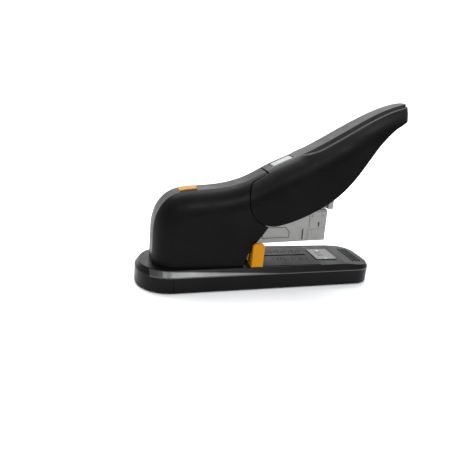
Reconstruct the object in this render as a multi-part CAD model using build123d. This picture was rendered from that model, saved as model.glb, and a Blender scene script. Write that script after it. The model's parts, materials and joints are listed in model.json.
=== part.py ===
from build123d import *
import os
from math import cos, hypot, radians, sin

# Heavy-duty front-lever stapler. Millimetres, +Z up, +X towards the anvil end, Y = 0 the mid-plane.
# The origin is under the middle of the base, on the surface that the stapler stands on.

# Base
BASE_LENGTH = 300.0
BASE_HALF_REAR = 42.0
BASE_HALF_FRONT = 37.0
REAR_CORNER = 39.0
FRONT_CORNER = 24.0
MAT_THICK = 2.0
PLATE_THICK = 1.5
WALL_TOP = 21.0
DECK = 27.5
SHOULDER_INSET = 4.5
SKIN = 2.5
FRONT_SLOPE_START = 112.0
FRONT_SLOPE_DROP = 3.0
SCREW_POSTS = [(-128.0, 20.0), (40.0, 29.0), (132.0, 18.0)]
HOUSING_BOSSES = [(-108.0, 25.0), (-44.0, 25.0)]
FRAME_RIVETS = [(x, y) for x in (-110.0, -38.0) for y in (-11.0, 11.0)]
DECK_OPENING_X = (-123.0, -29.0)
DECK_OPENING_HALF = 23.0
CAP_SHOULDER_X = -124.0
CAP_WALL_X = -111.0
CAP_GAP = 0.5

# Gauge slot, its scale and the anvil
SCALE_X = (-24.0, 75.0)
SCALE_HALF = 33.0
SCALE_TOP = 27.9
SLOT_X = (-15.0, 67.7)
SLOT_HALF = 1.7
TICK_PITCH = 5.0
TICK_COUNT = 10
ANVIL_X = (76.6, 105.0)
ANVIL_HALF = 17.0
ANVIL_TOP = 28.3
ANVIL_THICK = 2.0

# Spine: the centre line of the housing's and the handle's top, from the rear foot to the handle's tip
REAR_X = -132.5
REAR_STRAIGHT_TOP = 60.0
SPINE = [
    (REAR_X, REAR_STRAIGHT_TOP), (-128.4, 88.5), (-113.0, 107.5), (-83.0, 114.6), (-48.0, 119.2),
    (-18.0, 130.0), (3.0, 142.0), (32.0, 156.0), (58.0, 169.5), (88.0, 187.2), (118.0, 205.0),
    (150.0, 220.0), (174.0, 227.0),
]
STRIP_HALF = 11.0
COVER_HALF = 31.0
CREASE_SLOPE = 18.0

# Handle
PIVOT = (5.0, 108.0)
BOSS_RADIUS = 31.0
GROOVE = 1.2
TONGUE = 1.6
TONGUE_X = -4.5
BARREL = 28.4
TIP_X = 170.0
TIP_HALF = 25.0
TIP_CORNER = 13.0
HANDLE_UNDERSIDE = [
    (TIP_X, 207.0), (146.0, 193.0), (124.0, 166.0), (102.0, 133.0), (82.0, 112.0), (52.0, 93.0),
    (23.0, 80.8), (8.0, 77.2),
]
HANDLE_PIN_RADIUS = 4.0
COVER_PINS = [(72.0, 154.0), (124.0, 187.0)]
LABEL_X = (4.0, 31.0)
LABEL_HALF = 9.5
LEVER_HALF = 14.0
LEVER_THICK = 2.0

# Frame and head
FRAME_HALF = 20.0
FRAME_THICK = 2.0
HEAD_PIVOT = (-118.0, 50.0)
HEAD_PIN_RADIUS = 3.0
HEAD_LIFT = 2.0
HEAD_HALF = 8.5
SHEET = 1.5
HEAD_BOTTOM = 44.0
HEAD_TOP = 84.0
HEAD_FRONT = 86.5
NOSE = [(62.0, 44.0), (86.5, 44.0), (86.5, 62.0), (85.0, 62.0), (75.5, 59.0), (62.0, 59.0)]
RAIL_X = (-60.0, 83.4)
RAIL_HALF = 5.4
RAIL_TOP = 60.0
BLADE_X = (83.7, 84.7)
BLADE_HALF = 6.4
DRIVER_TOP = 108.6
ROLLER = (86.0, 122.2)
ROLLER_RADIUS = 6.0
LATCH_PIVOT = (-80.0, 70.0)

# Depth gauge and release button
GAUGE_X = (-19.0, -4.5)
GAUGE_BAR_TOP = 31.5
GAUGE_TOP = 57.5
BUTTON_X = (-104.0, -83.0)
BUTTON_HALF = 8.0
STEM_X = (-98.0, -92.0)
SHELF_Z = 94.0

RUNNING = 0.05
FREE = 0.3


def outline(points):
    return make_face(Polyline(*points, close=True))


def prism(face, y0, y1):
    """Extrudes a face drawn in X and Z between two Y planes."""
    return extrude(Plane.XZ.offset(-y1) * face, y1 - y0)


def slab(x0, x1, y0, y1, z0, z1):
    return Pos(x0, y0, z0) * Box(x1 - x0, y1 - y0, z1 - z0, align=(Align.MIN, Align.MIN, Align.MIN))


def bar_y(x, z, radius, y0, y1):
    return Pos(x, (y0 + y1) / 2, z) * Rot(90, 0, 0) * Cylinder(radius, y1 - y0)


def bar_z(x, y, radius, z0, z1):
    return Pos(x, y, (z0 + z1) / 2) * Cylinder(radius, z1 - z0)


def bar_x(y, z, radius, x0, x1):
    return Pos((x0 + x1) / 2, y, z) * Rot(0, 90, 0) * Cylinder(radius, x1 - x0)


def both_sides(part):
    return part + mirror(part, Plane.XZ)


def in_head(part):
    """Tips a piece drawn on the closed head's level frame up to the open head's angle."""
    return part.rotate(Axis((HEAD_PIVOT[0], 0, HEAD_PIVOT[1]), (0, 1, 0)), -HEAD_LIFT)


# ---- base ----

def plan(inset):
    """The base's outline in plan, tapering slightly forwards, with a nearly round rear end."""
    x = BASE_LENGTH / 2 - inset
    rear, front = BASE_HALF_REAR - inset, BASE_HALF_FRONT - inset
    face = make_face(Polyline((-x, -rear), (x, -front), (x, front), (-x, rear), close=True))
    corners = face.vertices().sort_by(Axis.X)
    face = fillet(corners[:2], REAR_CORNER - inset)
    return fillet(face.vertices().sort_by(Axis.X)[-2:], FRONT_CORNER - inset)


def base_block():
    walls = extrude(Plane.XY.offset(MAT_THICK) * plan(0), WALL_TOP - MAT_THICK)
    shoulder = loft([Plane.XY.offset(WALL_TOP) * plan(0), Plane.XY.offset(DECK) * plan(SHOULDER_INSET)])
    end = BASE_LENGTH / 2
    slope = outline([
        (FRONT_SLOPE_START, DECK), (end + 1, DECK - FRONT_SLOPE_DROP), (end + 1, DECK + 9),
        (FRONT_SLOPE_START, DECK + 9),
    ])
    return walls + shoulder - prism(slope, -60, 60)


def base_shell():
    under = DECK - 4.1
    cavity = extrude(Plane.XY.offset(MAT_THICK) * plan(3), WALL_TOP - MAT_THICK - 1)
    cavity += extrude(Plane.XY.offset(WALL_TOP - 1.5) * plan(8), under - WALL_TOP + 1.5)
    cavity -= slab(FRONT_SLOPE_START - 4, 160, -60, 60, DECK - FRONT_SLOPE_DROP - 4, 40)
    shell = base_block() - cavity
    for x, y in SCREW_POSTS:
        post = bar_z(x, y, 4.5, MAT_THICK + PLATE_THICK, under + 1) - bar_z(x, y, 1.52, 0, 16)
        shell += both_sides(post)
    shell -= slab(*DECK_OPENING_X, -DECK_OPENING_HALF, DECK_OPENING_HALF, WALL_TOP - 6, DECK + 1)
    for x, y in HOUSING_BOSSES:
        shell -= both_sides(bar_z(x, y, 1.6, WALL_TOP - 6, DECK + 1))
    shell -= slab(*SCALE_X, -SCALE_HALF, SCALE_HALF, DECK - 1.6, DECK + 1)
    shell -= slab(SLOT_X[0], SLOT_X[1], -SLOT_HALF, SLOT_HALF, WALL_TOP - 6, DECK)
    shell -= slab(ANVIL_X[0] - 0.3, ANVIL_X[1] + 0.3, -ANVIL_HALF - 0.3, ANVIL_HALF + 0.3,
                  ANVIL_TOP - ANVIL_THICK, DECK + 1)
    shell -= both_sides(bar_z((ANVIL_X[0] + ANVIL_X[1]) / 2, 13, 1.6, WALL_TOP - 6, DECK))
    for i in range(3):
        x = 126 + 5 * i
        top = 27.1 - 0.38 * i
        shell += prism(outline([(x, 20), (x + 2.4, 20), (x + 1.8, top), (x + 0.6, top)]), -21, 21)
    return shell


def cap_region(gap):
    """The rear end of the base, stepped: the cap's wall reaches further forward than its shoulder."""
    shoulder = slab(-170, CAP_SHOULDER_X - gap, -60, 60, 0, 40)
    wall = slab(-170, CAP_WALL_X - gap, -60, 60, 0, WALL_TOP - gap / 2)
    return shoulder + wall


def ring_region():
    """Everything outside the base's inner wall, where the end cap may be."""
    return slab(-170, 0, -60, 60, 0, 40) - extrude(Plane.XY.offset(-1) * plan(3), WALL_TOP)\
        - extrude(Plane.XY.offset(0) * plan(10), 60)


def make_base():
    shell = base_shell()
    cover = shell - (cap_region(0) & ring_region())
    cap = shell & cap_region(CAP_GAP) & ring_region()
    floor_z = MAT_THICK + PLATE_THICK
    plate = extrude(Plane.XY.offset(MAT_THICK) * plan(3.3), PLATE_THICK)
    screws = []
    for x, y in SCREW_POSTS:
        head = Pos(x, y, MAT_THICK + PLATE_THICK / 2) * Cone(3.0, 1.5, PLATE_THICK)
        screw = head + bar_z(x, y, 1.5, MAT_THICK, 14)
        screws += [screw, mirror(screw, Plane.XZ)]
        plate -= both_sides(Pos(x, y, MAT_THICK + PLATE_THICK / 2) * Cone(3.1, 1.6, PLATE_THICK))
    rivets = []
    for x, y in FRAME_RIVETS:
        shank = bar_z(x, y, 2.0, MAT_THICK, floor_z + FRAME_THICK)
        rivets.append(shank + Pos(x, y, floor_z + FRAME_THICK + 0.9) * Cone(3.8, 2.2, 1.8))
        plate -= bar_z(x, y, 2.02, 0, 10)
    return {
        "base_cover": cover,
        "rear_end_cap": cap,
        "base_plate": plate,
        "rubber_mat": extrude(plan(5.5), MAT_THICK),
        "base_screws": Compound(screws),
        "frame_rivets": Compound(rivets),
        "scale_plate": make_scale_plate(),
        "anvil_plate": make_anvil(),
        "anvil_screws": make_anvil_screws(),
    }


def make_scale_plate():
    """The plate beside the gauge slot, with a raised tick every 5 mm on each side."""
    half = SCALE_HALF - FREE
    plate = slab(SCALE_X[0] + FREE, SCALE_X[1] - FREE, -half, half, DECK - 1.6, SCALE_TOP)
    plate = chamfer(plate.edges().group_by(Axis.Z)[-1], 0.5)
    plate -= slab(SLOT_X[0], SLOT_X[1], -SLOT_HALF, SLOT_HALF, DECK - 3, SCALE_TOP + 1)
    for i in range(TICK_COUNT):
        x = SLOT_X[1] - 4 - i * TICK_PITCH
        reach = 18 if i % 2 == 0 else 14
        tick = slab(x - 0.45, x + 0.45, 8, reach, SCALE_TOP - 0.35, SCALE_TOP + 1)
        plate -= both_sides(tick)
    return plate


def make_anvil():
    """Steel plate with the pair of grooves that clinch the staple's legs."""
    plate = slab(*ANVIL_X, -ANVIL_HALF, ANVIL_HALF, ANVIL_TOP - ANVIL_THICK, ANVIL_TOP)
    plate = fillet(plate.edges().filter_by(Axis.Z), 1.2)
    middle = (ANVIL_X[0] + ANVIL_X[1]) / 2
    for x in (ANVIL_X[0] + 8.2, ANVIL_X[0] + 12.5):
        plate -= both_sides(Pos(x, 4.2, ANVIL_TOP) * scale(Sphere(1), (1.1, 4.0, 1.0)))
    return plate - both_sides(bar_z(middle, 13, 1.62, 0, 40)) \
        - both_sides(Pos(middle, 13, ANVIL_TOP - 0.6) * Cone(1.6, 2.9, 1.2))


def make_anvil_screws():
    middle = (ANVIL_X[0] + ANVIL_X[1]) / 2
    screw = bar_z(middle, 13, 1.55, WALL_TOP - 3, ANVIL_TOP - 0.6)
    screw += Pos(middle, 13, ANVIL_TOP - 0.75) * Cone(1.5, 2.5, 1.1)
    screw -= slab(middle - 2.2, middle + 2.2, 12.6, 13.4, ANVIL_TOP - 0.7, ANVIL_TOP + 1)
    return Compound([screw, mirror(screw, Plane.XZ)])


# ---- housing and handle covers ----

def inset_spine(depth):
    """The spine moved inwards, to the right of its direction of travel."""
    moved = []
    for i, (x, z) in enumerate(SPINE):
        x0, z0 = SPINE[i - 1] if i else (x, z - 1)
        x1, z1 = SPINE[min(i + 1, len(SPINE) - 1)]
        run = hypot(x1 - x0, z1 - z0)
        moved.append((x + depth * (z1 - z0) / run, z - depth * (x1 - x0) / run))
    return moved


def spine_path(depth):
    points = inset_spine(depth)
    rise = Line((points[0][0], 0, DECK - 10), (points[0][0], 0, points[0][1]))
    in_space = [(x, 0, z) for x, z in points]
    run = Spline(*in_space, tangents=[(0, 0, 1), (0.96, 0, 0.28)], tangent_scalars=[1, 1])
    return Wire([rise, run])


def shoulder_cutter(depth):
    """What the rounded shoulder takes off one side of the covers' block, swept along the spine."""
    half = COVER_HALF - depth
    slope = radians(CREASE_SLOPE)
    radius = (half - STRIP_HALF) / (1 - sin(slope))
    x = REAR_X + depth

    def on_arc(angle):
        return (x + radius * (cos(slope) - cos(angle)), STRIP_HALF + radius * (sin(angle) - sin(slope)))

    end = on_arc(radians(90))
    arc = ThreePointArc(on_arc(slope), on_arc((radians(90) + slope) / 2), end)
    rim = Polyline(end, (end[0], half + 6), (x - 6, half + 6), (x - 6, STRIP_HALF), (x, STRIP_HALF))
    profile = Plane.XY.offset(DECK - 10) * make_face([arc, rim])
    return sweep(profile, path=spine_path(depth))


def side_face(depth):
    """The covers' side outline: above the deck, and below the spine moved inwards by the depth."""
    points = inset_spine(depth)
    far = points[-1]
    return make_face([
        Line((points[0][0], DECK), points[0]),
        Spline(*points, tangents=[(0, 1), (0.96, 0.28)], tangent_scalars=[1, 1]),
        Polyline(far, (far[0], DECK), (points[0][0], DECK)),
    ])


def cover_block(depth):
    """The housing's and the handle's common outer body."""
    half = COVER_HALF - depth
    return prism(side_face(depth), -half, half) - both_sides(shoulder_cutter(depth))


def tongue(depth, x1):
    """The thin end of the housing's top, which reaches over the handle's boss to the handle's strip."""
    skin = prism(side_face(0), -40, 40) - prism(side_face(depth), -41, 41)
    return skin & slab(-24, x1, -40, 40, 110, 160)


def clear_of_boss(radius):
    return Pos(*PIVOT) * Circle(radius)


def housing_region():
    """Behind the handle's boss: the front edge leans forwards up to the groove round the boss."""
    front = Spline((-27, DECK), (-23, 42), (-13, 58.5), (-1, 76.5))
    rest = Polyline((-1, 76.5), PIVOT, (-20, 170), (-140, 170), (-140, DECK), (-27, DECK))
    behind = prism(make_face([front, rest]) - clear_of_boss(BOSS_RADIUS + GROOVE), -40, 40)
    return behind + tongue(TONGUE, TONGUE_X)


def groove_flange():
    """Ledge inside the housing that closes the view through the groove beside the handle's boss."""
    sector = outline([(0, 0), (-60, 10), (-60, -60), (-17, -60)])
    outer = BOSS_RADIUS + GROOVE + 2.3
    over = prism(Pos(*PIVOT) * ((Circle(outer) - Circle(BOSS_RADIUS - 1.7)) & sector), -40, 40)
    beside = prism(Pos(*PIVOT) * ((Circle(outer) - Circle(outer - 2)) & sector), -40, 40)
    within = cover_block(SKIN + 2)
    ledge = (over & cover_block(SKIN + FREE)) - within
    return ledge + ((beside & cover_block(SKIN - 0.2)) - within)


def make_housing():
    cover = (cover_block(0) - cover_block(SKIN)) & housing_region()
    cover += groove_flange()
    inner = COVER_HALF - SKIN
    for x, y in HOUSING_BOSSES:
        cover += both_sides(bar_z(x, y, 4, DECK, DECK + 14) - bar_z(x, y, 1.52, DECK - 1, DECK + 11))
    x0, x1 = BUTTON_X
    shelf = slab(x0 - 4, x1 + 2, -inner, inner, SHELF_Z, SHELF_Z + 2) & cover_block(1)
    cover += shelf - slab(STEM_X[0] - 0.4, STEM_X[1] + 0.4, -3.4, 3.4, SHELF_Z - 1, SHELF_Z + 3)
    cover -= slab(x0, x1, -BUTTON_HALF, BUTTON_HALF, SHELF_Z + 5, 130)
    screws = []
    for x, y in HOUSING_BOSSES:
        for side in (-1, 1):
            head = bar_z(x, side * y, 3.2, DECK - 6.3, DECK - 4.1)
            screws.append(head + bar_z(x, side * y, 1.5, DECK - 4.1, DECK + 10))
    return {"housing_cover": cover, "housing_screws": Compound(screws)}


def make_button():
    """Push button that lifts the magazine latch, with a lip under the housing's skin and a stem."""
    x0, x1, y = BUTTON_X[0] + FREE, BUTTON_X[1] - FREE, BUTTON_HALF - FREE
    cap = (cover_block(-1.2) & slab(x0, x1, -y, y, 90, 130)) - cover_block(3.4)
    lip = (cover_block(3.0) & slab(x0 - 2, x1 + 2, -y - 2, y + 2, 90, 130)) - cover_block(4.5)
    stem = slab(*STEM_X, -3, 3, 85.4, 120) & cover_block(2)
    return cap + lip + stem


def handle_plan(inset):
    """The handle in plan: full width up to its middle, then tapering to a rounded tip."""
    tip, half = TIP_X - inset, TIP_HALF - inset
    face = outline([(-40, -40), (95, -COVER_HALF), (tip, -half), (tip, half), (95, COVER_HALF), (-40, 40)])
    face = fillet(face.vertices().sort_by(Axis.X)[-2:], TIP_CORNER - inset)
    return extrude(face, 260)


def handle_region():
    """The handle's side: a round boss about its pin, and a lever rising forwards above the underside."""
    underside = Spline(*HANDLE_UNDERSIDE)
    rest = Polyline(HANDLE_UNDERSIDE[-1], PIVOT, (-32.3, 211.5), (190, 260), HANDLE_UNDERSIDE[0])
    return prism(make_face([underside, rest]) + clear_of_boss(BOSS_RADIUS), -40, 40)


def make_handle():
    """The handle's cover is turned down in the middle of its boss, to pass under the housing's tongue."""
    inner = COVER_HALF - SKIN
    start = TONGUE_X + GROOVE
    outer = (cover_block(0) & handle_region() & handle_plan(0)) - tongue(TONGUE + 0.6, start)
    hollow = cover_block(SKIN) & handle_plan(SKIN)
    cover = outer - hollow
    turned = bar_y(*PIVOT, BOSS_RADIUS + 3, -16.5, 16.5) - bar_y(*PIVOT, BARREL + 0.2, -17, 17)
    cover -= turned & slab(-60, start, -17, 17, 116, 160)
    ring = Circle(BARREL) - Circle(BARREL - 2)
    sector = outline([(0, 0), (-10, 60), (-60, 60), (-60, 16)])
    cover += prism(Pos(*PIVOT) * (ring & sector), -inner, inner) & cover_block(0.5)
    for x, z in COVER_PINS:
        rib = outline([(x - 6, z - 6), (x + 6, z - 6), (x + 6, 260), (x - 6, 260)])
        cover += both_sides(prism(rib, 14.3, 17.0)) & cover_block(1)
    for x, z in COVER_PINS:
        cover -= bar_y(x, z, 2.02, -20, 20)
    x0, x1 = LABEL_X
    label = slab(x0, x1, -LABEL_HALF, LABEL_HALF, 130, 170)
    pocket = slab(x0 - 0.2, x1 + 0.2, -LABEL_HALF - 0.2, LABEL_HALF + 0.2, 130, 170)
    cover -= pocket - cover_block(0.6)
    return {
        "handle_cover": cover,
        "label_plate": (cover_block(-0.2) & label) - cover_block(0.6),
        "handle_undercover": make_undercover(),
        "lever_arm": make_lever(),
        "cover_pins": Compound([bar_y(x, z, 2.0, -17, 17) for x, z in COVER_PINS]),
        "drive_roller": bar_y(*ROLLER, ROLLER_RADIUS, -8, 8) - bar_y(*ROLLER, 2 + RUNNING, -9, 9),
        "roller_pin": bar_y(*ROLLER, 2.0, -15.5, 15.5),
    }


def make_undercover():
    """The strip that closes the underside of the grip, between the cover's cheeks."""
    low = [(106.0, 139.5), (124.0, 166.3), (146.0, 193.2), (167.0, 205.6)]
    thick = 2.2
    high = [(x - thick, z + thick) for x, z in reversed(low)]
    face = outline(low + high)
    return prism(face, -40, 40) & handle_plan(SKIN + 0.2) & cover_block(SKIN + 0.2)


def make_lever():
    """Steel channel from the handle's pin to the grip: two cheeks under a web."""
    top = [(18.0, 134.0), (60.0, 155.0), (90.0, 172.0), (120.0, 192.0), (146.0, 206.0)]
    low = [(146, 201), (122, 173), (100, 139), (92, 115), (60, 106), (8, 96), (-3, 99), (-6, 110), (0, 119)]
    side = outline(top + low) + Pos(*PIVOT) * Circle(12)
    under = outline([(x + 1.2, z - 2.4) for x, z in top] + [(200, 80), (-60, 80), (-60, 96)])
    between = LEVER_HALF - LEVER_THICK
    lever = prism(side, -LEVER_HALF, LEVER_HALF) - prism(under, -between, between)
    lever -= prism(Pos(*PIVOT) * Circle(22), -between, between)
    lever -= bar_y(*PIVOT, HANDLE_PIN_RADIUS + RUNNING, -20, 20)
    lever -= bar_y(*ROLLER, 2.02, -20, 20)
    for x, z in COVER_PINS:
        lever -= bar_y(x, z, 2.02, -20, 20)
    return lever


# ---- frame, pins and springs ----

def make_frame():
    floor_z = MAT_THICK + PLATE_THICK
    side = outline([
        (-119, floor_z), (-34, floor_z), (-34, 32), (-19, 62), (-6, 84), (8, 97), (12, 118), (-2, 118),
        (-24, 104), (-60, 98), (-84, 92), (-108, 88), (-124, 62), (-124, 42), (-119, 34),
    ])
    side += Pos(*PIVOT) * Circle(11)
    frame = both_sides(prism(side, FRAME_HALF - FRAME_THICK, FRAME_HALF))
    frame += slab(-119, -34, -FRAME_HALF, FRAME_HALF, floor_z, floor_z + FRAME_THICK)
    frame -= bar_y(*PIVOT, HANDLE_PIN_RADIUS + 0.02, -30, 30)
    frame -= bar_y(*HEAD_PIVOT, HEAD_PIN_RADIUS + 0.02, -30, 30)
    for x, y in FRAME_RIVETS:
        frame -= bar_z(x, y, 2.02, 0, 10)
    return frame


def tube_y(centre, outer, inner, y0, y1):
    return bar_y(*centre, outer, y0, y1) - bar_y(*centre, inner, y0 - 1, y1 + 1)


def clip(centre, pin_radius, y):
    """Retaining clip in a pin's groove, open towards +X."""
    x, z = centre
    ring = tube_y(centre, pin_radius + 2.2, pin_radius - 0.6, y, y + 0.8)
    mouth = 0.6 * pin_radius
    return ring - slab(x, x + 20, y - 1, y + 2, z - mouth, z + mouth)


def grooved_pin(centre, radius, half):
    pin = bar_y(*centre, radius, -half, half)
    return pin - both_sides(tube_y(centre, radius + 1, radius - 0.6, FRAME_HALF + 0.2, FRAME_HALF + 1.05))


def coil(radius, wire, pitch, length):
    """A coil spring along its own Z axis, from z = 0."""
    path = Helix(pitch, length - 2 * wire, radius)
    section = Plane(origin=path @ 0, z_dir=path % 0) * Circle(wire)
    return Pos(0, 0, wire) * sweep(section, path=path)


def make_pins_and_springs():
    clips = []
    for centre, radius in ((PIVOT, HANDLE_PIN_RADIUS), (HEAD_PIVOT, HEAD_PIN_RADIUS)):
        one = clip(centre, radius, FRAME_HALF + 0.22)
        clips += [one, mirror(one, Plane.XZ)]
    end = FRAME_HALF - FRAME_THICK - 0.1
    lever_spacer = tube_y(PIVOT, 6.5, HANDLE_PIN_RADIUS + RUNNING, LEVER_HALF + 0.2, end)
    head_spacer = tube_y(HEAD_PIVOT, 5.5, HEAD_PIN_RADIUS + RUNNING, HEAD_HALF + 0.2, end)
    twist = Pos(PIVOT[0], 9.4, PIVOT[1]) * Rot(90, 0, 0) * coil(8.5, 1.1, 2.7, 18.8)
    floor_z = MAT_THICK + PLATE_THICK + FRAME_THICK
    return {
        "handle_pin": grooved_pin(PIVOT, HANDLE_PIN_RADIUS, 22.5),
        "head_pin": grooved_pin(HEAD_PIVOT, HEAD_PIN_RADIUS, 22.5),
        "pin_clips": Compound(clips),
        "lever_spacers": Compound([lever_spacer, mirror(lever_spacer, Plane.XZ)]),
        "head_spacers": Compound([head_spacer, mirror(head_spacer, Plane.XZ)]),
        "handle_spring": twist,
        "head_spring": Pos(-70, 0, floor_z + 0.1) * coil(5.5, 0.8, 5.2, 39.8),
        "button_spring": Pos(-95, 0, SHELF_Z + 2.1) * coil(5.6, 0.45, 2.4, 10.6),
    }


# ---- head, driver and magazine, all drawn on the closed head's level frame ----

def make_head():
    x, z = HEAD_PIVOT
    side = outline([
        (-126, HEAD_BOTTOM), (NOSE[0][0] - FREE, HEAD_BOTTOM), (NOSE[0][0] - FREE, NOSE[5][1] + FREE),
        (75.5, NOSE[4][1] + FREE), (85.0, NOSE[3][1] + FREE), (HEAD_FRONT, NOSE[3][1] + FREE),
        (HEAD_FRONT, HEAD_TOP), (-88, HEAD_TOP), (-126, 58),
    ])
    cheek = prism(side, HEAD_HALF - SHEET, HEAD_HALF)
    slots = slab(54.2, 55.8, 0, 20, 46, 60) + slab(75.2, 76.6, 0, 20, 62, 68.4)
    cheek -= slots
    panel = outline([(2, 50.5), (36.5, 50.5), (36.5, 57), (31, 63), (2, 63)])
    panel = fillet(panel.vertices().sort_by(Axis.X)[-3:-2], 2.5)
    cheek -= prism(offset(panel, 0.8) - panel, HEAD_HALF - 0.5, HEAD_HALF + 1)
    web = slab(-50, 70, -HEAD_HALF, HEAD_HALF, HEAD_TOP - SHEET, HEAD_TOP)
    face = slab(HEAD_FRONT - SHEET, HEAD_FRONT, -HEAD_HALF, HEAD_HALF, NOSE[3][1] + FREE, HEAD_TOP)
    seat = slab(-78, -62, -HEAD_HALF, HEAD_HALF, HEAD_BOTTOM, HEAD_BOTTOM + SHEET)
    frame = both_sides(cheek) + web + face + seat
    frame -= bar_y(x, z, HEAD_PIN_RADIUS + RUNNING, -20, 20) + bar_y(*LATCH_PIVOT, 1.52, -20, 20)
    guard_face = outline([(63.2, 62.3), (74.8, 62.3), (84.6, 65.4), (84.6, 82), (63.2, 82)])
    guard = prism(guard_face, HEAD_HALF, HEAD_HALF + 0.7) - slab(75.0, 76.8, 0, 20, 61.8, 68.6)
    rivets = []
    for rx, rz in ((67.0, 77.0), (80.5, 77.0)):
        rivet = bar_y(rx, rz, 1.6, HEAD_HALF + 0.7, HEAD_HALF + 1.3)
        rivet = fillet(rivet.edges().sort_by(Axis.Y)[-1:], 0.4)
        rivets += [rivet, mirror(rivet, Plane.XZ)]
    return {
        "head_frame": frame,
        "nose_guards": Compound([guard, mirror(guard, Plane.XZ)]),
        "guard_rivets": Compound(rivets),
        "latch_pin": bar_y(*LATCH_PIVOT, 1.5, -HEAD_HALF - 0.8, HEAD_HALF + 0.8),
    }


def make_latch():
    """Latch lever: a rear pad under the button's stem, and a hook in front of the rail's lip."""
    lever = outline([
        (-99, 81), (-99, 84), (-91, 84), (-76, 74.5), (-56, 69), (-55.5, 62.1), (-57.5, 62.1),
        (-59, 65.5), (-77, 66), (-86, 66.5),
    ])
    return prism(lever, -4.5, 4.5) - bar_y(*LATCH_PIVOT, 1.5 + RUNNING, -6, 6)


def make_driver():
    """The driver's yoke bridges the head's front wall, and carries the blade down behind it."""
    x0, x1 = BLADE_X
    leg = slab(72, x0 - 0.05, -6.6, 6.6, 80, DRIVER_TOP)
    bridge = slab(72, 94.4, -6.6, 6.6, 103, DRIVER_TOP)
    bridge -= slab(x0 - 0.05, x1 + 0.05, -7, 7, 90, DRIVER_TOP - 1.5)
    lip = slab(HEAD_FRONT + 0.5, 94.4, -HEAD_HALF, HEAD_HALF, 85, DRIVER_TOP)
    lip = fillet(lip.edges().filter_by(Axis.Z).sort_by(Axis.X)[-2:], 1.5)
    blade = slab(x0, x1, -BLADE_HALF, BLADE_HALF, RAIL_TOP + 1.9, DRIVER_TOP - 1.6)
    rivets = []
    yoke = leg + bridge + lip
    for y in (-3.2, 3.2):
        yoke -= bar_x(y, 93, 1.02, 60, x0)
        blade -= bar_x(y, 93, 1.02, 60, 90)
        rivets.append(bar_x(y, 93, 1.0, 74, x1))
    return {"driver_yoke": yoke, "driver_blade": blade, "blade_rivets": Compound(rivets)}


def make_magazine():
    x0, x1 = RAIL_X
    floor_z = HEAD_BOTTOM + 1.2
    rail = slab(x0, x1, -RAIL_HALF, RAIL_HALF, floor_z, RAIL_TOP)
    rail -= slab(x0 + 1.5, x1 - 1.5, -RAIL_HALF + 1.2, RAIL_HALF - 1.2, floor_z + 1.2, RAIL_TOP - 1.2)
    rail -= slab(x0 + 3, x1 - 8, -1.4, 1.4, RAIL_TOP - 2, RAIL_TOP + 1)
    rail -= bar_x(0, 52.5, 1.52, x0 - 1, x1 + 1)
    rail += slab(x0, x0 + 1.5, -RAIL_HALF, RAIL_HALF, RAIL_TOP, RAIL_TOP + 1.6)
    face = outline(NOSE)
    nose = prism(face, -HEAD_HALF, HEAD_HALF) - slab(60, 85, -7, 7, floor_z, 70) - slab(80, 85, -7, 7, 40, 70)
    mark = outline([
        (62.5, 57.2), (67.5, 57.2), (67.5, 54), (63.4, 54), (63.4, 49.2), (75.4, 49.2), (75.4, 46),
        (74.8, 46), (74.8, 48.6), (62.5, 48.6),
    ])
    nose -= both_sides(prism(mark, HEAD_HALF - 0.4, HEAD_HALF + 1))
    rivets = []
    for x in (66, 75):
        nose -= bar_z(x, 0, 1.52, 40, 47)
        rail -= bar_z(x, 0, 1.52, 40, floor_z + 2)
        rivets.append(bar_z(x, 0, 1.5, HEAD_BOTTOM, floor_z + 1.2))
    rod = bar_x(0, 52.5, 1.5, x0, x1)
    turns = Pos(x0 + 2, 0, 52.5) * Rot(0, 90, 0) * coil(2.9, 0.4, 6.0, 119)
    return {
        "magazine_rail": rail,
        "magazine_nose": nose,
        "rail_rivets": Compound(rivets),
        "guide_rod": rod,
        "pusher_spring": turns,
    }


def make_pusher():
    """Saddle that straddles the rail behind the staples and runs on the rod inside it."""
    top = RAIL_TOP + 0.1
    saddle = slab(64, 82, -6.8, 6.8, top, top + 1.1)
    saddle += both_sides(slab(64, 82, 5.55, 6.8, 47.5, top + 1.1))
    key = slab(63, 72, -1.1, 1.1, 55, top)
    carrier = slab(63, 72, -3.6, 3.6, 48.6, 56.6) - bar_x(0, 52.5, 1.5 + RUNNING, 50, 90)
    return saddle + key + carrier


# ---- depth gauge ----

def make_gauge():
    x0, x1 = GAUGE_X
    z0 = SCALE_TOP + FREE
    bar = slab(x0, x1, -34, 34, z0, GAUGE_BAR_TOP)
    post = slab(x0 + 1, x1, 20, 34, z0, 46)
    post = fillet(post.edges().filter_by(Axis.Y).sort_by(Axis.Z)[-2:], 3)
    end_face = outline([(x0, z0), (x1, z0), (x1, GAUGE_TOP), (x0, GAUGE_TOP)])
    end_face = fillet(end_face.vertices().sort_by(Axis.Y)[-2:], 4.5)
    end = prism(end_face, 32.6, 36.5)
    end = fillet(end.faces().sort_by(Axis.Y)[-1].edges(), 1.2)
    fence = bar + both_sides(post + end)
    middle = (x0 + x1) / 2
    fence -= bar_z(middle, 0, 1.52, 0, 50) + Pos(middle, 0, GAUGE_BAR_TOP - 0.8) * Cone(1.5, 3.2, 1.7)
    clamp = slab(x0, x1, -9, 9, 20.3, 22.6) - bar_z(middle, 0, 1.52, 0, 50)
    screw = bar_z(middle, 0, 1.5, 18.0, GAUGE_BAR_TOP - 1.6)
    screw += Pos(middle, 0, GAUGE_BAR_TOP - 0.85) * Cone(1.45, 3.05, 1.6)
    nut = extrude(Pos(middle, 0, 18.0) * RegularPolygon(3.2, 6), 2.2) - bar_z(middle, 0, 1.52, 0, 50)
    return {"depth_gauge": fence, "gauge_clamp": clamp, "gauge_screw": screw, "gauge_nut": nut}


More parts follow.
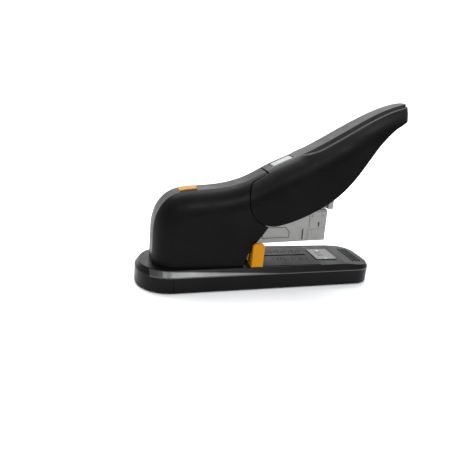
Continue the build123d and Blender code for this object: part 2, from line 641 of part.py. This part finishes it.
def main():
    parts = make_base() | make_housing() | make_handle() | make_pins_and_springs() | make_gauge()
    parts["release_button"] = make_button()
    parts["main_frame"] = make_frame()
    tilted = make_head() | make_driver() | make_magazine()
    tilted["magazine_latch"] = make_latch()
    tilted["staple_pusher"] = make_pusher()
    parts |= {name: in_head(part) for name, part in tilted.items()}
    os.makedirs("parts", exist_ok=True)
    for name, part in parts.items():
        export_step(part, f"parts/{name}.step")


main()
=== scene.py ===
import json
import math

import bmesh
import bpy
import numpy as np
from mathutils import Matrix, Vector
from mathutils.bvhtree import BVHTree


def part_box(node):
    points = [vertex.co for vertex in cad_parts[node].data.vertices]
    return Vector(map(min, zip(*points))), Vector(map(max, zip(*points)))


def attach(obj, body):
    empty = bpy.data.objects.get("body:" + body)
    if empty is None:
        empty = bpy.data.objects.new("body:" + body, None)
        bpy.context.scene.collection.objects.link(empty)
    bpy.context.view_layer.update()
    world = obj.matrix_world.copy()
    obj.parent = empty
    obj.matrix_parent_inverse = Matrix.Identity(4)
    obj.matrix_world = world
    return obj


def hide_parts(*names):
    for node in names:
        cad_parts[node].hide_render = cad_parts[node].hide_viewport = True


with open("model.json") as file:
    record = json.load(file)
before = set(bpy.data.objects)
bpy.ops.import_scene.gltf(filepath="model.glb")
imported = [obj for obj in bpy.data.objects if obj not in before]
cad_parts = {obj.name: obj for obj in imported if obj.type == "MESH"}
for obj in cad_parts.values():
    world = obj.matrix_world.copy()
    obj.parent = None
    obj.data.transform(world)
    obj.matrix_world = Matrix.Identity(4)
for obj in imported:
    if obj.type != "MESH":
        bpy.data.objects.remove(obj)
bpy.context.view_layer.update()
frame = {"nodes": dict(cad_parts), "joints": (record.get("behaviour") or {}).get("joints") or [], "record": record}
cover_low, cover_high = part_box("handle_cover")
pivot = Vector(next(joint for joint in frame["joints"] if joint["name"] == "handle_press")["pos_m"])

# Camera: it stands off the side at -y, a little behind the stapler's middle, and looks down by 19 degrees
CAMERA_AT = (-0.2097, -0.5234, 0.2460)
CAMERA_FORWARD = (0.3097, 0.8924, -0.3282)
CAMERA_RIGHT = (0.9508, -0.2954, 0.0940)
CAMERA_LENS = 36.46
SENSOR_WIDTH = 36

# Base: the glossy strip along its shoulder, measured from the deck and from the rear of each moulding
SHOULDER_DROP = 0.0078
SHOULDER_NARROWING = 0.0062
SHOULDER_SPAN = (0.014, 0.160)
CAP_SPAN = (0.013, 0.030)

# Handle, in metres. A flat strip runs along its top. Past a crease the shoulders round over to upright sides.
# The covers' top is read at a few places along x, and one smooth spine through them carries every section.
STRIP_HALF = 0.011
CREASE = math.radians(18)
SKIN = 0.0025
SECTION_DEPTH = 0.11
SPINE_AT = (-0.083, -0.048, -0.026, 0.003, 0.032, 0.058, 0.088, 0.118, 0.150)
SPINE_STATIONS = 150
PROBE_HEIGHT = 0.3
CUTTER_HALF = 0.04

# The sunk band and the raised lip beside the strip. The band's points are (y, depth), and the lip's are
# measured from the band's last point. Both come out of the plain shoulder over a stretch of x, and the lip
# opens first, with a tilt. While they are closed, their points lie a pitch apart on the shoulder.
BAND_OUT = (0.036, 0.058)
LIP_OPEN = (0.030, 0.046)
BAND = [
    (0.0115, 0.0003), (0.0132, 0.0016), (0.0152, 0.0031),
    (0.0160, 0.0036), (0.0164, 0.0035), (0.0167, 0.0030),
]
LIP = [
    (0.0006, -0.0002), (0.0018, -0.0002), (0.0030, 0.0),
    (0.0039, 0.0004), (0.0046, 0.0010), (0.0051, 0.0017),
]
BAND_PITCH = 0.00006
LIP_TILT = 0.12

# Plan: the sides close in towards the tip, and its corners are rounded
TAPER_FROM = 0.095
TAPER = 0.08
TIP_CORNER = 0.013

# Side view: the boss's arc in degrees, the groove that clears the housing's tongue, and the underside
BOSS_ARC = (143, 272)
TONGUE_GAP = 0.0022
TONGUE_FROM = -0.0195
STRIP_START = -0.0033
STEP_HEIGHT = 0.0015
UNDERSIDE_FROM = 0.0075
UNDERSIDE_MARGIN = 0.0005
CLEAR_HEIGHTS = (0.165, 0.26)

# Boss, with arcs in degrees: the turned barrel under the tongue, and the rims behind it, which clear the two
# plates of the frame
BARREL = 0.0284
BARREL_WALL = 0.002
BARREL_GAP = 0.0002
BARREL_ARC = (99, 165)
RIM_ARC = (165, 196)
TURNED_ARC = (104, 165)
TURNED_OUTER = 0.034
TURNED_HALF = 0.0165
FRAME_SHEET = 0.002
FRAME_GAP = 0.0001
WEB_DEPTH = 0.0075
WEB_WALL = 0.0006

# Label: a blank sheet in a shallow pocket of the strip, its face a little below the strip's
LABEL_HALF = 0.0062
LABEL_FLOOR = 0.0005
LABEL_FACE = 0.00008
LABEL_EDGE_GAP = 0.0002


# ---- materials ----

class Shade:
    """A Principled material under construction, with short calls for the node patterns used below."""

    def __init__(self, name):
        self.material = bpy.data.materials.new(name)
        self.material.use_nodes = True
        self.nodes = self.material.node_tree.nodes
        self.links = self.material.node_tree.links
        self.shader = self.nodes["Principled BSDF"]
        self.coords = self.nodes.new("ShaderNodeTexCoord")

    def set(self, **values):
        for key, value in values.items():
            self.shader.inputs[key.replace("_", " ")].default_value = value

    def stretched(self, stretch):
        mapping = self.nodes.new("ShaderNodeMapping")
        mapping.inputs["Scale"].default_value = stretch
        self.links.new(self.coords.outputs["Object"], mapping.inputs["Vector"])
        return mapping.outputs["Vector"]

    def noise(self, scale, detail, stretch=(1, 1, 1)):
        texture = self.nodes.new("ShaderNodeTexNoise")
        texture.inputs["Scale"].default_value = scale
        texture.inputs["Detail"].default_value = detail
        self.links.new(self.stretched(stretch), texture.inputs["Vector"])
        return texture.outputs["Fac"]

    def cells(self, scale):
        texture = self.nodes.new("ShaderNodeTexVoronoi")
        texture.inputs["Scale"].default_value = scale
        self.links.new(self.stretched((1, 1, 1)), texture.inputs["Vector"])
        return texture.outputs["Distance"]

    def spread(self, value, low, high, start=0.3, end=0.7):
        """Maps start..end of a value onto low..high. The usual start and end suit a noise pattern."""
        node = self.nodes.new("ShaderNodeMapRange")
        settings = {"From Min": start, "From Max": end, "To Min": low, "To Max": high}
        for name, setting in settings.items():
            node.inputs[name].default_value = setting
        self.links.new(value, node.inputs["Value"])
        return node.outputs["Result"]

    def place(self, axis):
        """The coordinate along an axis, in metres."""
        split = self.nodes.new("ShaderNodeSeparateXYZ")
        self.links.new(self.coords.outputs["Object"], split.inputs["Vector"])
        return split.outputs[axis]

    def work_out(self, operation, *values):
        node = self.nodes.new("ShaderNodeMath")
        node.operation = operation
        for value, socket in zip(values, node.inputs):
            self.links.new(value, socket)
        return node

    def off_middle(self, axis):
        """The distance from the middle along an axis, on either side."""
        return self.work_out("ABSOLUTE", self.place(axis)).outputs["Value"]

    def times(self, first, second):
        return self.work_out("MULTIPLY", first, second).outputs["Value"]

    def within(self, value, low, high):
        """1 where a value lies between two limits, and 0 elsewhere."""
        node = self.work_out("COMPARE", value)
        node.inputs[1].default_value = 0.5 * (low + high)
        node.inputs[2].default_value = 0.5 * (high - low)
        return node.outputs["Value"]

    def tint(self, value, first, second):
        """Mixes two colours by a value from 0 to 1."""
        mix = self.nodes.new("ShaderNodeMix")
        mix.data_type = "RGBA"
        mix.inputs["A"].default_value = (*first, 1)
        mix.inputs["B"].default_value = (*second, 1)
        self.links.new(value, mix.inputs["Factor"])
        return mix

    def colour(self, mix):
        self.links.new(mix.outputs["Result"], self.shader.inputs["Base Color"])

    def roughness(self, output):
        self.links.new(output, self.shader.inputs["Roughness"])

    def gloss(self, value, low, high, start=0.0, end=1.0):
        """Maps start..end of a value onto low..high of the gloss."""
        output = self.spread(value, low, high, start, end)
        self.links.new(output, self.shader.inputs["Specular IOR Level"])

    def plain_gloss(self):
        return self.shader.inputs["Specular IOR Level"].default_value

    def bump(self, *layers):
        """Each layer is (height, distance in metres, strength); later layers ride on the earlier ones."""
        normal = None
        for height, distance, strength in layers:
            node = self.nodes.new("ShaderNodeBump")
            node.inputs["Distance"].default_value = distance
            node.inputs["Strength"].default_value = strength
            self.links.new(height, node.inputs["Height"])
            if normal:
                self.links.new(normal, node.inputs["Normal"])
            normal = node.outputs["Normal"]
        self.links.new(normal, self.shader.inputs["Normal"])


def grey(level):
    return (level, level, level)


def moulded(name, dark, light, rough, grain_scale=2600, grain=0.00002):
    """Injection-moulded plastic: a fine spark-eroded grain, faint flow clouds and handling smudges."""
    shade = Shade(name)
    clouds = shade.noise(scale=22, detail=4)
    smudges = shade.noise(scale=60, detail=5)
    sinks = shade.noise(scale=35, detail=2)
    shade.colour(shade.tint(shade.spread(clouds, 0, 1), dark, light))
    shade.roughness(shade.spread(smudges, *rough))
    shade.bump((sinks, 0.0002, 0.05), (shade.cells(grain_scale), grain, 0.35))
    shade.set(IOR=1.5, Specular_IOR_Level=0.10)
    return shade


def steel(name, dark, light, rough, along=(12, 260, 260)):
    """Sheet steel: rolling marks along one direction, dull patches and fine scratches."""
    shade = Shade(name)
    marks = shade.noise(scale=6, detail=6, stretch=along)
    patches = shade.noise(scale=45, detail=4)
    scratches = shade.noise(scale=400, detail=2)
    shade.colour(shade.tint(shade.spread(marks, 0, 1), dark, light))
    shade.roughness(shade.spread(patches, *rough))
    shade.bump((marks, 0.00001, 0.15), (scratches, 0.00001, 0.1))
    shade.set(Metallic=1.0)
    return shade


def painted_shade_in_marks(shade, axis, low, high, dark):
    """Darkens and dulls what lies between two distances along an axis, the floors of engraved marks: painted shade
    in these recesses.
    """
    marks = shade.within(shade.off_middle(axis), low, high)
    plain = shade.shader.inputs["Base Color"].links[0].from_socket
    shaded_floors = shade.tint(marks, grey(1), grey(dark))
    shade.links.new(plain, shaded_floors.inputs["A"])
    shade.colour(shaded_floors)
    shade.gloss(marks, shade.plain_gloss(), 0.0)
    return shade


def polished_shoulder(shade, deck, start, end, narrowing, bright):
    """Raises the gloss below the deck's height, ahead of a start. The top edge falls towards the end."""
    low = deck - SHOULDER_DROP
    top_fade, low_fade, start_fade = 0.0012, 0.0002, 0.0003
    along, height = shade.place("X"), shade.place("Z")
    top = shade.spread(along, deck, deck - narrowing, start, end)
    below_top = shade.work_out("SUBTRACT", top, height).outputs["Value"]
    under_top = shade.spread(below_top, 0, 1, 0, top_fade)
    over_low = shade.spread(height, 0, 1, low - low_fade, low)
    started = shade.spread(along, 0, 1, start - start_fade, start)
    shade.gloss(shade.times(shade.times(under_top, over_low), started), shade.plain_gloss(), bright)
    return shade


def duller_sides(shade, start, end, bright, dull):
    """Lowers the gloss away from the middle of a cover, where the mould's texture is coarser."""
    shade.gloss(shade.off_middle("Y"), bright, dull, start, end)
    return shade


def make_black_mouldings():
    """The black mouldings, which share one colour and differ in where they shine."""
    colours = grey(0.0025), grey(0.0045)
    base_low, base_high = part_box("base_cover")
    deck = base_high.z
    cap_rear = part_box("rear_end_cap")[0].x
    base_shine = [base_low.x + along for along in SHOULDER_SPAN]
    cap_shine = [cap_rear + along for along in CAP_SPAN]
    base = moulded("base_moulding", *colours, (0.30, 0.40))
    cap = moulded("cap_moulding", *colours, (0.30, 0.40))
    housing = moulded("housing_moulding", *colours, (0.32, 0.44))
    handle = moulded("handle_moulding", *colours, (0.32, 0.44))
    return {
        "base_cover": polished_shoulder(base, deck, *base_shine, SHOULDER_NARROWING, 1.0),
        "rear_end_cap": polished_shoulder(cap, deck, *cap_shine, 0, 0.8),
        "housing_cover": duller_sides(housing, 0.015, 0.024, 0.085, 0.055),
        "handle_cover": duller_sides(handle, 0.0215, 0.026, 0.16, 0.05),
        "black_plastic": moulded("black_moulding", *colours, (0.32, 0.44)),
    }


def make_other_mouldings():
    panel_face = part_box("scale_plate")[1].z
    panel = moulded("scale_moulding", grey(0.011), grey(0.016), (0.42, 0.52), 1800, 0.00004)
    yellow = (0.42, 0.170, 0.002), (0.49, 0.205, 0.004)
    orange = (0.27, 0.125, 0.002), (0.32, 0.150, 0.004)
    white = grey(0.31), (0.36, 0.36, 0.355)
    return {
        # painted shade: the floors of the engraved ticks are darkened and lose their gloss
        "scale_plate": painted_shade_in_marks(panel, "Z", panel_face - 0.0010, panel_face - 0.0001, 0.001),
        "dark_plastic": moulded("panel_moulding", grey(0.009), grey(0.014), (0.42, 0.56), 1800, 0.00004),
        "base_sheet": moulded("base_paint", grey(0.010), grey(0.016), (0.35, 0.5), 900, 0.00003),
        "rubber": moulded("rubber", grey(0.008), grey(0.013), (0.75, 0.9), 1100, 0.00008),
        "gauge_yellow": moulded("yellow_moulding", *yellow, (0.36, 0.48)),
        "button_orange": moulded("orange_moulding", *orange, (0.34, 0.46)),
        "label_white": moulded("label", *white, (0.4, 0.55), 1500),
    }


def make_steels():
    """The steels. The marks run along the sheet, across it, upright or, on small turned pieces, any way."""
    across, upright, any_way = (260, 12, 260), (260, 260, 12), (120, 120, 120)
    sheet = (0.215, 0.215, 0.207), (0.26, 0.26, 0.25)
    anvil = grey(0.10), (0.14, 0.14, 0.136)
    fastener = grey(0.34), (0.44, 0.44, 0.43)
    head_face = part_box("head_frame")[1].y
    head = steel("head_steel", *sheet, (0.34, 0.46))
    return {
        # painted shade: the floors of the engraved outlines are darkened and lose their gloss
        "head_frame": painted_shade_in_marks(head, "Y", head_face - 0.0007, head_face - 0.0001, 0.03),
        "guard_rivets": steel("rivet_steel", *sheet, (0.5, 0.6), any_way),
        "sheet_steel": steel("sheet_steel", *sheet, (0.34, 0.46)),
        "frame_steel": steel("frame_steel", grey(0.07), grey(0.11), (0.5, 0.62)),
        "anvil_steel": steel("anvil_steel", *anvil, (0.3, 0.42), across),
        "blade_steel": steel("blade_steel", grey(0.18), grey(0.26), (0.28, 0.4), upright),
        "spring_steel": steel("spring_steel", grey(0.28), grey(0.38), (0.25, 0.35)),
        "fastener_steel": steel("fastener_steel", *fastener, (0.24, 0.36), any_way),
        "roller_steel": steel("roller_steel", grey(0.32), grey(0.44), (0.2, 0.3), across),
    }


def make_materials():
    """Materials by the record's slots, and by node where one node looks different from its slot."""
    shades = {**make_black_mouldings(), **make_other_mouldings(), **make_steels()}
    return {name: shade.material for name, shade in shades.items()}


def paint_cad(materials):
    for entry in frame["record"]["subparts"]:
        data = frame["nodes"][entry["node"]].data
        data.materials.clear()
        data.materials.append(materials.get(entry["node"]) or materials[entry["material_slot"]])


# ---- handle ----

def ease(x, start, end):
    """Goes smoothly from 0 at the start to 1 at the end."""
    share = min(1.0, max(0.0, (x - start) / (end - start)))
    return share * share * (3 - 2 * share)


def smooth_curve(points, count):
    """Evenly spaced samples of a natural cubic spline through the points."""
    knots = np.array(points)
    travelled = np.concatenate([[0], np.cumsum(np.linalg.norm(np.diff(knots, axis=0), axis=1))])
    gaps = np.diff(travelled)
    system = np.eye(len(knots))
    right = np.zeros(knots.shape)
    for i in range(1, len(knots) - 1):
        before, after = gaps[i - 1], gaps[i]
        system[i, i - 1:i + 2] = before, 2 * (before + after), after
        right[i] = 6 * ((knots[i + 1] - knots[i]) / after - (knots[i] - knots[i - 1]) / before)
    bend = np.linalg.solve(system, right)
    wanted = np.linspace(0, travelled[-1], count)
    span = np.clip(np.searchsorted(travelled, wanted) - 1, 0, len(knots) - 2)
    gap = gaps[span][:, None]
    to_next = (travelled[span + 1] - wanted)[:, None] / gap
    from_last = (wanted - travelled[span])[:, None] / gap
    straight = to_next * knots[span] + from_last * knots[span + 1]
    curved = (to_next ** 3 - to_next) * bend[span] + (from_last ** 3 - from_last) * bend[span + 1]
    return straight + curved * gap ** 2 / 6


def ray_trees(*nodes):
    depsgraph = bpy.context.evaluated_depsgraph_get()
    return [BVHTree.FromObject(frame["nodes"][node], depsgraph) for node in nodes]


def probe(trees, start, direction):
    """The first point that a ray meets."""
    hits = [tree.ray_cast(Vector(start), Vector(direction)) for tree in trees]
    return min((hit for hit in hits if hit[0] is not None), key=lambda hit: hit[3])[0]


def spine_stations():
    """(x, z) along the covers' top, from behind the boss to just past the tip, read off the CAD covers."""
    beside_label = STRIP_HALF - 0.0006
    covers = ray_trees("housing_cover", "handle_cover")
    points = []
    for x in (*SPINE_AT, cover_high.x - 0.001):
        place = probe(covers, (x, beside_label, PROBE_HEIGHT), (0, 0, -1))
        points.append((x, place.z))
    (x0, z0), (x1, z1) = points[-2:]
    past_tip = 0.006
    droop = 0.75
    points.append((x1 + past_tip, z1 + past_tip * droop * (z1 - z0) / (x1 - x0)))
    return smooth_curve(points, SPINE_STATIONS)


def half_width(x):
    """The handle's half width in plan."""
    side = cover_high.y - TAPER * max(0.0, x - TAPER_FROM)
    corner = cover_high.x - TIP_CORNER
    if x <= corner:
        return side
    centre = cover_high.y - TAPER * (corner - TAPER_FROM) - TIP_CORNER
    return centre + math.sqrt(max(0.0, TIP_CORNER ** 2 - (x - corner) ** 2))


def shoulder_depth(y, edge, inset):
    """How far the rounded shoulder lies below the spine at a distance y from the middle."""
    radius = (edge - STRIP_HALF) / (1 - math.sin(CREASE))
    sine = min(1.0, math.sin(CREASE) + max(0.0, y - STRIP_HALF) / radius)
    return inset + radius * (math.cos(CREASE) - math.sqrt(1 - sine * sine))


def outer_section(x):
    """Half of the handle's section at x as (y, depth): strip, falling band, lip, shoulder and side.

    Behind the lip's start the band and lip lie on the plain shoulder, so every section has as many points."""
    edge = cover_high.y
    out = ease(x, *BAND_OUT)
    section = [(share * STRIP_HALF, 0.0) for share in (0, 0.3, 0.6, 0.85, 0.97, 1)]
    for i, (y, depth) in enumerate(BAND):
        start = STRIP_HALF + BAND_PITCH * (i + 1)
        section.append((start + out * (y - start), (1 - out) * shoulder_depth(start, edge, 0) + out * depth))
    crest_y, crest_depth = section[-1]
    opened = ease(x, *LIP_OPEN)
    for i, (y, depth) in enumerate(LIP):
        start = crest_y + BAND_PITCH * (i + 1)
        closed = crest_depth + shoulder_depth(start, edge, 0) - shoulder_depth(crest_y, edge, 0)
        opened_depth = crest_depth + out * depth + (1 - out) * LIP_TILT * y
        section.append((start + opened * (crest_y + y - start), closed + opened * (opened_depth - closed)))
    lip, lip_depth = section[-1]
    lift = shoulder_depth(lip, edge, 0) - lip_depth
    steps = 18
    for step in range(1, steps + 1):
        y = lip + (edge - lip) * math.sin(math.pi / 2 * step / steps)
        section.append((y, shoulder_depth(y, edge, 0) - lift * (1 - step / steps) ** 1.6))
    section.append((edge, SECTION_DEPTH))
    return section


def inner_section(_x):
    """Half of the hollow's section, the same all along: a skin's thickness inside the plain shoulder."""
    edge = cover_high.y - SKIN
    section = [(0.0, SKIN), (STRIP_HALF, SKIN)]
    steps = 10
    for step in range(1, steps + 1):
        y = STRIP_HALF + (edge - STRIP_HALF) * math.sin(math.pi / 2 * step / steps)
        section.append((y, shoulder_depth(y, edge, SKIN)))
    section.append((edge, SECTION_DEPTH + 0.01))
    return section


def new_solid(name, points, faces):
    mesh = bpy.data.meshes.new(name)
    mesh.from_pydata([tuple(p) for p in points], [], faces)
    edit = bmesh.new()
    edit.from_mesh(mesh)
    bmesh.ops.recalc_face_normals(edit, faces=edit.faces)
    edit.to_mesh(mesh)
    edit.free()
    solid = bpy.data.objects.new(name, mesh)
    bpy.context.scene.collection.objects.link(solid)
    return solid


def loft(name, rows):
    """A closed solid through rings of points with the same count, capped at both ends."""
    count = len(rows[0])
    faces = [tuple(range(count)), tuple(range(len(rows) * count - 1, (len(rows) - 1) * count - 1, -1))]
    for i in range(len(rows) - 1):
        for j in range(count):
            k = (j + 1) % count
            faces.append((i * count + j, (i + 1) * count + j, (i + 1) * count + k, i * count + k))
    return new_solid(name, [p for row in rows for p in row], faces)


def prism(name, outline, half):
    """A closed solid from an (x, z) outline, between -half and half in y."""
    return loft(name, [[(x, y, z) for x, z in outline] for y in (-half, half)])


def carve(solid, tool, operation):
    modifier = solid.modifiers.new("carve", "BOOLEAN")
    modifier.operation = operation
    modifier.solver = "EXACT"
    modifier.object = tool
    bpy.context.view_layer.update()
    mesh = bpy.data.meshes.new_from_object(solid.evaluated_get(bpy.context.evaluated_depsgraph_get()))
    solid.modifiers.clear()
    solid.data = mesh
    bpy.data.objects.remove(tool)


def along_spine(name, stations, section_at, inset):
    """Sweeps a section along the spine, upright to it, and narrows it to the handle's plan."""
    full = cover_high.y
    travel = np.gradient(stations, axis=0)
    rows = []
    for (x, z), (dx, dz) in zip(stations, travel):
        length = math.hypot(dx, dz)
        half = []
        for y, depth in section_at(x):
            px, pz = x + depth * dz / length, z - depth * dx / length
            half.append((px, y * (half_width(px) - inset) / (full - inset), pz))
        mirrored = [(px, -py, pz) for px, py, pz in reversed(half[1:])]
        rows.append(mirrored + half)
    return loft(name, rows)


def inwards(stations, depth, x0, x1):
    """The stretch of the spine from x0 to x1, moved inwards by a depth."""
    travel = np.gradient(stations, axis=0)
    moved = []
    for (x, z), (dx, dz) in zip(stations, travel):
        length = math.hypot(dx, dz)
        if x0 <= x <= x1:
            moved.append((x + depth * dz / length, z - depth * dx / length))
    return moved


def boss_arc(radius, start, end, steps=24):
    """Points about the handle's pivot, between two angles in degrees."""
    angles = [math.radians(start + (end - start) * i / steps) for i in range(steps + 1)]
    return [(pivot.x + radius * math.cos(a), pivot.z + radius * math.sin(a)) for a in angles]


def read_underside():
    """(x, z) along the handle's underside: the lowest point of the CAD cover's wall at each x."""
    cover = ray_trees("handle_cover")
    points = []
    steps = 44
    for i in range(steps + 1):
        x = UNDERSIDE_FROM + (cover_high.x - UNDERSIDE_MARGIN - UNDERSIDE_FROM) * i / steps
        across_wall = [half_width(x) - SKIN * share for share in (0.2, 0.5, 0.8, 1.2, 1.8)]
        points.append((x, min(probe(cover, (x, y, 0), (0, 0, 1)).z for y in across_wall)))
    return points


def handle_outline(stations):
    """The handle's side view: the groove, space above the strip, the underside and the boss."""
    under = read_underside()
    arc = boss_arc(pivot.x - cover_low.x, *BOSS_ARC, 48)
    sunk = inwards(stations, TONGUE_GAP, TONGUE_FROM, STRIP_START)
    groove = [point for point in sunk if point[0] < STRIP_START]
    rear_height, front_height = CLEAR_HEIGHTS
    above = [
        (STRIP_START, groove[-1][1] + STEP_HEIGHT),
        (STRIP_START, rear_height),
        (cover_high.x, front_height),
        (cover_high.x, under[-1][1]),
    ]
    return groove + above + list(reversed(under)) + list(reversed(arc))


def clean_mesh(solid, degrees):
    """Clears what the booleans leave behind, and marks edges sharper than an angle."""
    sliver = 0.00003
    edit = bmesh.new()
    edit.from_mesh(solid.data)
    bmesh.ops.remove_doubles(edit, verts=edit.verts, dist=sliver)
    bmesh.ops.dissolve_degenerate(edit, edges=edit.edges, dist=sliver)
    many_sided = [face for face in edit.faces if len(face.verts) > 4]
    bmesh.ops.triangulate(edit, faces=many_sided)
    bmesh.ops.dissolve_degenerate(edit, edges=edit.edges, dist=sliver)
    for face in edit.faces:
        face.smooth = True
    for edge in edit.edges:
        edge.smooth = len(edge.link_faces) == 2 and edge.calc_face_angle(0) < math.radians(degrees)
    edit.to_mesh(solid.data)
    edit.free()


def finish_piece(piece, material, sharp=30):
    clean_mesh(piece, sharp)
    piece.data.materials.clear()
    piece.data.materials.append(material)
    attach(piece, "handle")


def make_hollow(stations):
    """The inside of the handle's moulding, on every third station, which stops short of the tip."""
    hollow = along_spine("handle_hollow", stations[::3], inner_section, SKIN)
    rear, front, top = -0.2, cover_high.x - SKIN, PROBE_HEIGHT
    outline = [(rear, 0), (front, 0), (front, top), (rear, top)]
    carve(hollow, prism("handle_inner_tip", outline, CUTTER_HALF), "INTERSECT")
    return hollow


def under_label(stations, depth):
    """The stretch of the spine under the label, moved inwards by a depth."""
    low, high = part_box("label_plate")
    return inwards(stations, depth, low.x, high.x)


def cut_label_pocket(skin, stations):
    """A shallow pocket for the label. The cutter reaches well above the strip."""
    floor = under_label(stations, LABEL_FLOOR)
    pocket = floor + [(x, z + 0.006) for x, z in reversed(floor)]
    carve(skin, prism("label_pocket", pocket, LABEL_HALF), "DIFFERENCE")


def make_handle_skin(materials, stations):
    """The handle's moulded cover, with the sunk band and the raised lip beside its strip."""
    skin = along_spine("handle_skin", stations, outer_section, 0)
    carve(skin, prism("handle_outline", handle_outline(stations), CUTTER_HALF), "INTERSECT")
    carve(skin, make_hollow(stations), "DIFFERENCE")
    start, end = TURNED_ARC
    turned = boss_arc(TURNED_OUTER, end, start) + boss_arc(BARREL + BARREL_GAP, start, end)
    carve(skin, prism("turned", turned, TURNED_HALF), "DIFFERENCE")
    cut_label_pocket(skin, stations)
    finish_piece(skin, materials["handle_cover"], sharp=14)
    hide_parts("handle_cover")


def make_label(materials, stations):
    """The blank label, which stops a station short of its pocket's ends."""
    floor = under_label(stations, LABEL_FLOOR)[1:-1]
    face = under_label(stations, LABEL_FACE)[1:-1]
    label = prism("label_sheet", floor + list(reversed(face)), LABEL_HALF - LABEL_EDGE_GAP)
    finish_piece(label, materials["label_white"])
    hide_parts("label_plate")


def barrel_reach(stations, x, z):
    """How far a point of the barrel may reach sideways and stay inside the covers' shoulders."""
    step, side_wall, gap = 0.0005, 0.004, 0.0015
    edge = cover_high.y
    depth = float(np.min(np.hypot(stations[:, 0] - x, stations[:, 1] - z)))
    y = STRIP_HALF
    while y < edge - side_wall and shoulder_depth(y, edge, 0) < depth:
        y += step
    return y - gap


def boss_band(name, stations, arc, near, side, material):
    """A stretch of the barrel's wall, from a near end, or from side to side where there is none."""
    outer, inner = boss_arc(BARREL, *arc), boss_arc(BARREL - BARREL_WALL, *arc)
    rows = []
    for (x, z), (xi, zi) in zip(outer, inner):
        y_far = side * barrel_reach(stations, x, z)
        y_near = -y_far if near is None else side * near
        rows.append([(x, y_near, z), (x, y_far, z), (xi, y_far, zi), (xi, y_near, zi)])
    finish_piece(loft(name, rows), material)


def make_barrel(materials, stations):
    """The turned middle of the boss under the housing's tongue, and the rims that close the view behind.

    Left and right are as seen from the nose."""
    black = materials["black_plastic"]
    plate_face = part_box("main_frame")[1].y
    inside, outside = plate_face - FRAME_SHEET - FRAME_GAP, plate_face + FRAME_GAP
    boss_band("boss_barrel", stations, BARREL_ARC, None, 1, black)
    boss_band("boss_rim_left", stations, RIM_ARC, outside, -1, black)
    boss_band("boss_rim_right", stations, RIM_ARC, outside, 1, black)
    make_middle_rim(inside, black)


def make_middle_rim(half, material):
    """The rim between the frame's plates, with a deeper web at each side."""
    web = half - WEB_WALL
    rows = []
    arcs = [boss_arc(BARREL - depth, *RIM_ARC) for depth in (0, BARREL_WALL, WEB_DEPTH)]
    for outer, inner, deep in zip(*arcs):
        section = [(outer, -half), (outer, half), (deep, half), (deep, web),
                   (inner, web), (inner, -web), (deep, -web), (deep, -half)]
        rows.append([(x, y, z) for (x, z), y in section])
    finish_piece(loft("boss_rim_middle", rows), material)


# ---- studio ----

def make_camera():
    data = bpy.data.cameras.new("camera")
    data.sensor_width = SENSOR_WIDTH
    data.lens = CAMERA_LENS
    camera = bpy.data.objects.new("camera", data)
    bpy.context.scene.collection.objects.link(camera)
    forward = Vector(CAMERA_FORWARD).normalized()
    right = Vector(CAMERA_RIGHT).normalized()
    up = right.cross(forward)
    turn = Matrix((right, up, -forward)).transposed().to_4x4()
    camera.matrix_world = Matrix.Translation(CAMERA_AT) @ turn
    bpy.context.scene.camera = camera


def area_light(name, place, target, size, power):
    data = bpy.data.lights.new(name, "AREA")
    data.shape = "RECTANGLE"
    data.size, data.size_y = size
    data.energy = power
    light = bpy.data.objects.new(name, data)
    bpy.context.scene.collection.objects.link(light)
    light.location = place
    light.rotation_euler = (Vector(target) - Vector(place)).to_track_quat("-Z", "Y").to_euler()


def make_floor():
    """A pale floor that curves up behind into the backdrop."""
    half, depth, radius, height, steps = 3.0, 3.0, 1.2, 3.5, 12
    bend = depth - radius
    profile = [(-depth, 0.0), (bend, 0.0)]
    for step in range(1, steps + 1):
        angle = math.radians(90 * step / steps)
        profile.append((bend + radius * math.sin(angle), radius - radius * math.cos(angle)))
    profile.append((depth, height))
    points = [(x, y, z) for y, z in profile for x in (-half, half)]
    faces = [(2 * i, 2 * i + 1, 2 * i + 3, 2 * i + 2) for i in range(len(profile) - 1)]
    mesh = bpy.data.meshes.new("floor")
    mesh.from_pydata(points, [], faces)
    mesh.polygons.foreach_set("use_smooth", [True] * len(faces))
    floor = bpy.data.objects.new("floor", mesh)
    bpy.context.scene.collection.objects.link(floor)
    shade = Shade("floor_paint")
    shade.colour(shade.tint(shade.spread(shade.noise(scale=3, detail=2), 0, 1), grey(0.90), grey(0.93)))
    shade.roughness(shade.spread(shade.noise(scale=8, detail=2), 0.8, 0.9))
    mesh.materials.append(shade.material)


def make_world():
    world = bpy.data.worlds.new("studio")
    world.use_nodes = True
    background = world.node_tree.nodes["Background"]
    background.inputs["Color"].default_value = (0.95, 0.97, 1.0, 1)
    background.inputs["Strength"].default_value = 0.75
    bpy.context.scene.world = world
    bpy.context.scene.view_settings.view_transform = "Standard"


def make_lights():
    """Soft lights overhead, for each shiny patch of the base and for the backdrop. Powers are in watts."""
    centre = (0.0, 0.0, 0.08)
    area_light("overhead", (0.1, 0.6, 1.5), centre, (1.6, 1.0), 16)
    area_light("shoulder", (0.17, -0.88, 0.86), (-0.08, -0.04, 0.02), (0.42, 0.26), 5)
    area_light("corner", (-0.46, -0.83, 0.86), (-0.125, -0.037, 0.022), (0.24, 0.24), 2.0)
    area_light("backdrop", (0.0, 0.9, 2.2), (0.0, 3.0, 0.7), (3.0, 0.6), 130)


materials = make_materials()
paint_cad(materials)
stations = spine_stations()
make_handle_skin(materials, stations)
make_label(materials, stations)
make_barrel(materials, stations)
make_camera()
make_floor()
make_world()
make_lights()
